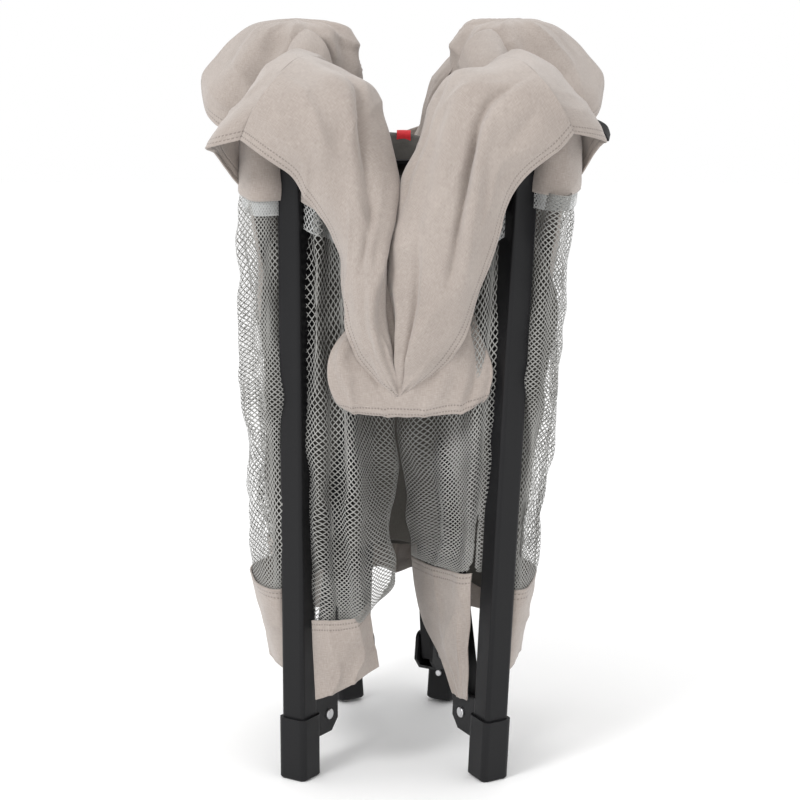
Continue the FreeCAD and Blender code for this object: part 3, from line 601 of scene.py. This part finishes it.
def back_hood(corner, middle, outward, seed):
    """Puffed hood over a back corner, closed all round, with its bound hem below."""
    rows = []
    for index in range(len(BACK_HOOD) + 1):
        reach, hem = BACK_HOOD[index % len(BACK_HOOD)]
        turn = 2 * math.pi * index / len(BACK_HOOD)
        way = Vector((outward * math.cos(turn), math.sin(turn), 0))
        side = 0.5 + 0.5 * math.cos(turn)
        rows.append([tuple(Vector((middle[0], middle[1], hem)) + way * reach * (o[0] * side + i[0] * (1 - side))
                           + Vector((0, 0, (742 - hem) * (o[1] * side + i[1] * (1 - side)))))
                     for o, i in zip(OUTER, INNER)])
    folds = creases([(0.15, 0.93, 0.85, 0.86, 0.045, 6), (0.1, 0.86, 0.8, 0.80, 0.04, -6), (0.12, 0.79, 0.9, 0.74, 0.04, 6),
                     (0.1, 0.70, 0.75, 0.66, 0.035, -5), (0.3, 0.62, 0.85, 0.56, 0.035, -7), (0.3, 0.55, 0.9, 0.52, 0.03, 6),
                     (0.1, 0.04, 0.7, 0.07, 0.04, 6), (0.2, 0.12, 0.8, 0.2, 0.04, -5), (0.2, 0.3, 0.8, 0.35, 0.04, 5)])
    heights = [puckers(seed, 0.06, 0.006), wrinkles(seed + 85, 0.3, 0.09, 0.0032), folds]
    made = cloth("hood_" + corner, rows, TAUPE, (54, 150), [below_crown(height) for height in heights],
                 flip=outward > 0)
    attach(made, "post_" + corner)
    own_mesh(made)
    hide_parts("corner_cloth_" + corner)


back_hood("back_left", (-118, 172), -1, 11)
back_hood("back_right", (110, 172), 1, 12)

# ---- valance behind the front covers -------------------------------------------------------------

VALANCE = [
    [(-52, -158, 463), (-42, -160, 463), (-30, -161, 463), (-5, -161, 462), (24, -161, 466),
     (46, -160, 474), (61, -157, 484)],
    [(-70, -163, 438), (-56, -168, 440), (-33, -170, 441), (-5, -170, 441), (26, -171, 443),
     (52, -169, 450), (71, -162, 456)],
    [(-73, -166, 413), (-57, -173, 412), (-33, -175, 411), (-5, -175, 411), (29, -176, 413),
     (61, -174, 419), (82, -165, 426)],
    [(-66, -166, 391), (-52, -173, 387), (-31, -175, 384), (-3, -175, 383), (30, -175, 384),
     (60, -173, 389), (80, -166, 402)],
    [(-56, -165, 382), (-47, -170, 380), (-27, -172, 378), (-1, -172, 377), (32, -172, 378),
     (58, -170, 382), (73, -164, 391)],
]
valance = cloth("front_valance", turned_rows(VALANCE[::-1]), TAUPE, (50, 80),
                [puckers(21, 0.05, 0.003), wrinkles(22, 0.5, 0.2, 0.002, 0.6),
                 creases([(1.0, 0.08, 0.30, 0.22, 0.05, 5), (0.95, 0.30, 0.3, 0.40, 0.04, -4), (1.0, 0.62, 0.35, 0.55, 0.05, 4),
                          (1.0, 0.82, 0.25, 0.64, 0.05, 6), (0.8, 0.96, 0.15, 0.80, 0.04, -5)])],
                flip=True)
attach(valance, "lock_front")

# ---- net walls -----------------------------------------------------------------------------------

NET_FRONT_LEFT = [
    [(-100, -126, 588), (-85, -160, 577), (-73, -148, 570), (-59, -150, 552), (-48, -140, 543),
     (-36, -132, 536), (-22, -118, 529), (-9, -106, 523)],
    [(-102, -126, 484), (-86, -164, 488), (-73, -150, 486), (-59, -152, 487), (-49, -142, 481),
     (-38, -130, 478), (-23, -112, 475), (-9, -98, 473)],
    [(-104, -128, 387), (-87, -160, 391), (-73, -148, 386), (-57, -154, 387), (-45, -142, 378),
     (-32, -124, 368), (-20, -104, 361), (-7, -86, 356)],
    [(-102, -128, 317), (-86, -158, 319), (-72, -146, 314), (-56, -166, 315), (-41, -154, 310),
     (-26, -128, 304), (-15, -98, 299), (-6, -74, 297)],
    [(-100, -128, 257), (-84, -156, 257), (-70, -145, 250), (-54, -162, 252), (-40, -155, 251),
     (-27, -130, 250), (-18, -100, 251), (-12, -76, 253)],
    [(-96, -128, 204), (-81, -151, 201), (-67, -144, 195), (-52, -157, 197), (-39, -152, 199),
     (-28, -132, 200), (-19, -106, 203), (-13, -82, 209)],
    [(-94, -128, 154), (-77, -149, 157), (-66, -146, 158), (-54, -152, 162), (-43, -149, 164),
     (-35, -134, 171), (-25, -112, 181), (-16, -88, 194)],
]
NET_FRONT_RIGHT = [
    [(-9, -106, 523), (7, -116, 529), (24, -132, 536), (41, -150, 543), (58, -160, 550), (75, -172, 559),
     (89, -176, 571), (106, -166, 584)],
    [(-9, -94, 447), (7, -108, 450), (24, -128, 453), (41, -146, 458), (58, -158, 463), (73, -170, 468),
     (85, -170, 472), (101, -158, 477)],
    [(-7, -86, 356), (9, -104, 358), (25, -126, 363), (42, -146, 368), (56, -154, 372), (69, -164, 376),
     (80, -164, 380), (95, -148, 382)],
    [(-2, -66, 290), (12, -88, 293), (27, -112, 297), (41, -134, 306), (54, -144, 310), (67, -156, 315),
     (77, -156, 317), (92, -142, 320)],
    [(2, -44, 238), (14, -68, 240), (27, -92, 244), (40, -116, 249), (51, -130, 250), (63, -144, 254),
     (73, -147, 257), (88, -136, 258)],
    [(5, -34, 202), (16, -58, 204), (28, -82, 205), (39, -102, 207), (50, -118, 207), (59, -130, 208),
     (69, -136, 211), (84, -128, 214)],
]
NET_LEFT = [
    [(-108, -120, 582), (-132, -142, 582), (-153, -124, 584), (-156, -60, 604), (-140, -15, 604),
     (-142, 35, 604), (-156, 80, 604), (-152, 125, 584), (-136, 165, 582), (-112, 172, 582)],
    [(-108, -120, 450), (-132, -138, 452), (-154, -118, 455), (-160, -60, 458), (-138, -15, 456),
     (-140, 35, 456), (-158, 75, 458), (-150, 115, 455), (-128, 150, 452), (-104, 158, 450)],
    [(-108, -120, 330), (-130, -136, 332), (-152, -114, 335), (-158, -60, 338), (-136, -15, 336),
     (-138, 30, 336), (-154, 70, 336), (-142, 105, 334), (-114, 132, 332), (-90, 144, 330)],
    [(-108, -122, 192), (-128, -132, 192), (-147, -110, 194), (-154, -58, 196), (-134, -12, 196),
     (-134, 28, 196), (-146, 62, 196), (-128, 92, 195), (-96, 112, 193), (-78, 122, 192)],
]
NET_RIGHT = [
    [(112, -165, 596), (138, -190, 592), (159, -164, 592), (163, -100, 603), (150, -50, 604),
     (150, 10, 604), (160, 60, 604), (152, 115, 602), (132, 158, 600), (106, 172, 600)],
    [(104, -158, 460), (132, -170, 461), (149, -144, 462), (152, -90, 463), (140, -45, 464),
     (138, 10, 464), (148, 60, 464), (138, 108, 462), (112, 146, 461), (88, 158, 460)],
    [(96, -148, 340), (124, -158, 341), (141, -130, 342), (144, -75, 343), (132, -35, 344),
     (130, 15, 344), (138, 55, 344), (124, 95, 342), (94, 128, 341), (72, 142, 340)],
    [(88, -138, 195), (114, -143, 195), (127, -108, 196), (130, -66, 196), (120, -30, 196),
     (116, 15, 196), (118, 52, 196), (102, 86, 195), (76, 110, 195), (58, 120, 195)],
]
NET_BACK = [
    [(-112, 186, 600), (-95, 205, 598), (-70, 190, 585), (-45, 200, 570), (-15, 180, 562), (15, 198, 570),
     (40, 186, 585), (66, 205, 598), (88, 186, 600)],
    [(-102, 172, 460), (-86, 192, 460), (-64, 176, 455), (-42, 190, 450), (-14, 160, 448), (14, 188, 450),
     (36, 174, 455), (58, 192, 460), (80, 172, 460)],
    [(-92, 156, 330), (-76, 176, 330), (-56, 158, 326), (-36, 168, 322), (-12, 130, 320), (12, 166, 322),
     (32, 156, 326), (50, 174, 330), (70, 156, 330)],
    [(-82, 140, 184), (-68, 158, 184), (-50, 140, 184), (-32, 144, 186), (-12, 100, 190), (10, 142, 186),
     (26, 138, 184), (42, 156, 184), (60, 140, 184)],
]


def gathers(seed, count, depth):
    """Upright folds of gathered net, uneven from one to the next."""
    def height(spot, across, along):
        drift = 0.08 * noise.noise(Vector((across * 3, along * 2.2, seed)))
        swell = 0.6 + 0.8 * noise.noise(Vector((across * 5, along * 3, seed + 9)))
        return depth * swell * math.sin((across + drift) * count * 2 * math.pi + seed)
    return height


def strip(rows, start, end, lift):
    """A band of the sheet from start to end of its height, lifted off it by a little."""
    drawn_rows = drawn(rows)
    across = [i / 12 for i in range(13)]
    made = []
    for along in (start, (start + end) / 2, end):
        line = []
        for share in across:
            down = max(along, 0)
            here = on_sheet(drawn_rows, share, down)
            beside = (on_sheet(drawn_rows, min(share + 0.02, 1), down)
                      - on_sheet(drawn_rows, max(share - 0.02, 0), down))
            out = beside.cross(Vector((0, 0, 1))).normalized()
            if along < 0:
                here = here + Vector((0, 0, -along * 0.4))
            line.append(tuple((here + out * lift * MM) / MM))
        made.append(line)
    return made


for label, rows, body, count, seed, side in (
        ("net_front_left", NET_FRONT_LEFT, "post_front_left", 3.0, 1.0, 1),
        ("net_front_right", NET_FRONT_RIGHT, "post_front_right", 3.5, 2.0, 1),
        ("net_left", NET_LEFT, "post_front_left", 9.0, 3.0, -1),
        ("net_right", NET_RIGHT, "post_front_right", 9.0, 4.0, 1),
        ("net_back", NET_BACK, "post_back_left", 5.0, 5.0, -1)):
    folds = [gathers(seed, count, 0.006 if "front" in label else 0.0045), puckers(seed + 30, 0.07, 0.009)]
    made = net(label, rows, heights=folds)
    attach(made, body)
    band = net(label + "_edge", strip(rows, 0.0, 0.065, 1.5 * side), NET_EDGE, 2.9, 1.5)
    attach(band, body)
    if not label.startswith("net_front_right"):
        panel = cloth(label + "_panel", strip(rows, -0.14, 0.012, 3 * side), TAUPE, (80, 14),
                      [puckers(seed + 70, 0.04, 0.003)], flip=side > 0)
        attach(panel, body)

# ---- skirts --------------------------------------------------------------------------------------

SKIRT_FRONT_LEFT = [
    [(-91, -143, 166), (-76, -154, 169), (-62, -156, 170), (-48, -153, 173), (-36, -138, 182)],
    [(-90, -143, 130), (-74, -154, 132), (-58, -154, 136), (-43, -148, 142), (-31, -132, 148)],
    [(-89, -143, 104), (-73, -152, 110), (-57, -151, 117), (-41, -145, 123), (-29, -130, 129)],
    [(-88, -143, 84), (-73, -149, 91), (-57, -147, 99), (-42, -142, 107), (-27, -129, 114)],
]
SKIRT_FRONT_RIGHT = [
    [(7, -32, 201), (19, -58, 202), (33, -86, 204), (47, -110, 207), (58, -126, 209), (67, -134, 212)],
    [(11, -36, 166), (24, -66, 166), (37, -90, 167), (48, -112, 169), (58, -125, 170), (65, -131, 171)],
    [(19, -46, 135), (30, -72, 136), (39, -92, 136), (48, -112, 136), (57, -124, 134), (64, -130, 133)],
    [(36, -74, 107), (43, -88, 105), (47, -100, 105), (53, -113, 105), (58, -123, 104), (63, -129, 104)],
    [(48, -100, 77), (51, -106, 76), (54, -112, 76), (57, -118, 77), (60, -124, 78), (63, -129, 79)],
]


def skirt_under(rows, drop, pull):
    """A skirt that hangs from a net's lower edge and draws in towards the posts' feet."""
    edge = rows[-1]
    return [[(x * (1.006 - pull * share), y * (1.006 - pull * share), z + 3 - drop * share) for x, y, z in edge]
            for share in (0, 0.35, 0.7, 1)]


for label, rows, body, flip, seed in (
        ("skirt_front_left", SKIRT_FRONT_LEFT, "post_front_left", False, 41),
        ("skirt_front_right", SKIRT_FRONT_RIGHT, "post_front_right", False, 42),
        ("skirt_left", skirt_under(NET_LEFT, 88, 0.12), "post_front_left", True, 43),
        ("skirt_right", skirt_under(NET_RIGHT, 88, 0.12), "post_front_right", False, 44),
        ("skirt_back", skirt_under(NET_BACK, 44, 0.1), "post_back_left", True, 45)):
    made = cloth(label, turned_rows(rows), TAUPE, (40, 90),
                 [puckers(seed, 0.04, 0.0025), wrinkles(seed + 50, 0.9, 0.35, 0.002, 0.3)],
                 flip=flip)
    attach(made, body)

# ---- floor cloth on the hub, its red tab ---------------------------------------------------------

low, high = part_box("floor_cloth")
centre = (low + high) / 2 / MM
top = high.z / MM
FLOOR_FOLD = []
for share, rise, wide in ((-1.0, -95, 62), (-0.8, -40, 66), (-0.5, -8, 68), (-0.2, 14, 66), (0.0, 18, 64), (0.25, 12, 66),
                          (0.6, -10, 68), (0.85, -45, 66), (1.0, -95, 62)):
    FLOOR_FOLD.append([(centre.x + wide * a, centre.y + 66 * share - 4 * abs(a), top + rise - 26 * abs(a) ** 3)
                       for a in (-1, -0.66, -0.33, 0, 0.33, 0.66, 1)])
floor_fold = cloth("folded_floor_cloth", FLOOR_FOLD, FLOOR_CLOTH_PAINTED_SHADE, (50, 70), [puckers(51, 0.03, 0.003)])
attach(floor_fold, "hub")
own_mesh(floor_fold)
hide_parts("floor_cloth")
# floor cloth hanging from the hub inside the nets: partly the real folded floor and partly a painted shade sheet that
# darkens the inside behind the nets
HANGING_FLOOR = [
    [(-38, -24, 590), (-12, -20, 592), (16, -24, 590), (14, 18, 592), (12, 58, 590), (-12, 56, 592),
     (-34, 58, 590), (-36, 18, 592)],
    [(-98, -84, 572), (-12, -52, 574), (92, -100, 572), (96, 0, 574), (76, 94, 572), (-12, 88, 572),
     (-92, 94, 572), (-102, 0, 574)],
    [(-137, -98, 500), (-12, -62, 505), (132, -128, 500), (127, 0, 504), (112, 128, 500), (-12, 108, 504),
     (-124, 128, 500), (-131, 0, 504)],
    [(-137, -98, 390), (-12, -54, 400), (126, -122, 390), (121, 0, 396), (100, 118, 390), (-12, 98, 400),
     (-112, 118, 390), (-129, 0, 396)],
    [(-133, -98, 285), (-12, -42, 300), (114, -114, 285), (112, 0, 300), (78, 106, 285), (-12, 84, 290),
     (-98, 106, 285), (-126, 0, 300)],
    [(-126, -98, 178), (-12, -34, 220), (100, -106, 178), (104, 0, 205), (56, 96, 182), (-12, 74, 186),
     (-84, 96, 182), (-120, 0, 205)],
]
inner = cloth("hanging_floor_cloth_painted_shade", [ring + ring[:1] for ring in HANGING_FLOOR], FLOOR_CLOTH_PAINTED_SHADE, (150, 80),
              [puckers(53, 0.05, 0.006), gathers(54, 15, 0.004)],
              flip=True)
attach(inner, "hub")
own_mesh(inner)
low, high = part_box("pull_tab")
tab_x, tab_y, tab_z = (low.x + high.x) / 2 / MM, (low.y + high.y) / 2 / MM, low.z / MM
TAB = []
for y, z in ((-12, 2), (-14, 10), (-13, 18), (-8, 22), (-2, 21), (2, 15), (3, 6)):
    TAB.append([(tab_x + a, tab_y + y, tab_z + z) for a in (-7, -3.5, 0, 3.5, 7)])
tab = cloth("pull_loop", TAB, RED, (16, 40), [puckers(61, 0.01, 0.0006)], thick=1.8)
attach(tab, "hub")
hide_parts("pull_tab")
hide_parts("corner_cloth_front_left")
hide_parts("corner_cloth_front_right")

STRAP = [
    [(176, -84, 646), (176, -80, 650), (176, -76, 654)],
    [(186, -80, 643), (186, -76, 647), (186, -72, 651)],
    [(194, -74, 637), (195, -70, 641), (196, -66, 645)],
    [(198, -68, 630), (199, -64, 633), (200, -60, 636)],
]
strap = cloth("strap_end", STRAP, BLACK_WEB, (10, 20), (), thick=1.8)
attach(strap, "post_front_right")

# ---- floor, light and camera ---------------------------------------------------------------------

bm = bmesh.new()
bmesh.ops.create_grid(bm, x_segments=1, y_segments=1, size=6)
ground = placed("ground", bm, shader("pale_ground", Base_Color=(1.0, 1.0, 1.0, 1), Roughness=0.9)[0])
bpy.context.scene.view_settings.view_transform = "Standard"
world = bpy.data.worlds.new("studio")
bpy.context.scene.world = world
world.use_nodes = True
world.node_tree.nodes["Background"].inputs[0].default_value = (1.0, 1.0, 1.0, 1)
world.node_tree.nodes["Background"].inputs[1].default_value = 1.0


def lamp(name, spot, aim, size, power):
    """A round soft lamp at spot, turned to aim."""
    made = bpy.data.objects.new(name, bpy.data.lights.new(name, "AREA"))
    made.data.shape = "DISK"
    made.data.size = size
    made.data.energy = power
    made.location = spot
    made.rotation_euler = (Vector(aim) - Vector(spot)).to_track_quat("-Z", "Y").to_euler()
    bpy.context.scene.collection.objects.link(made)


lamp("key", (-1.5, -1.9, 2.2), (0, 0, 0.35), 0.9, 36)
lamp("fill", (2.2, -1.8, 1.2), (0, 0, 0.35), 1.6, 5)
lamp("top", (0.2, 0.8, 2.6), (0, 0, 0.5), 1.2, 8)

camera = bpy.data.objects.new("camera", bpy.data.cameras.new("camera"))
camera.data.lens = 99
camera.data.sensor_width = 36
camera.location = (0.0079, -2.2256, 0.7998)
camera.rotation_euler = (math.radians(90 - 11.21), 0, math.radians(0.35))
camera.data.clip_start, camera.data.clip_end = 0.05, 50
bpy.context.scene.collection.objects.link(camera)
bpy.context.scene.camera = camera

bpy.context.view_layer.update()
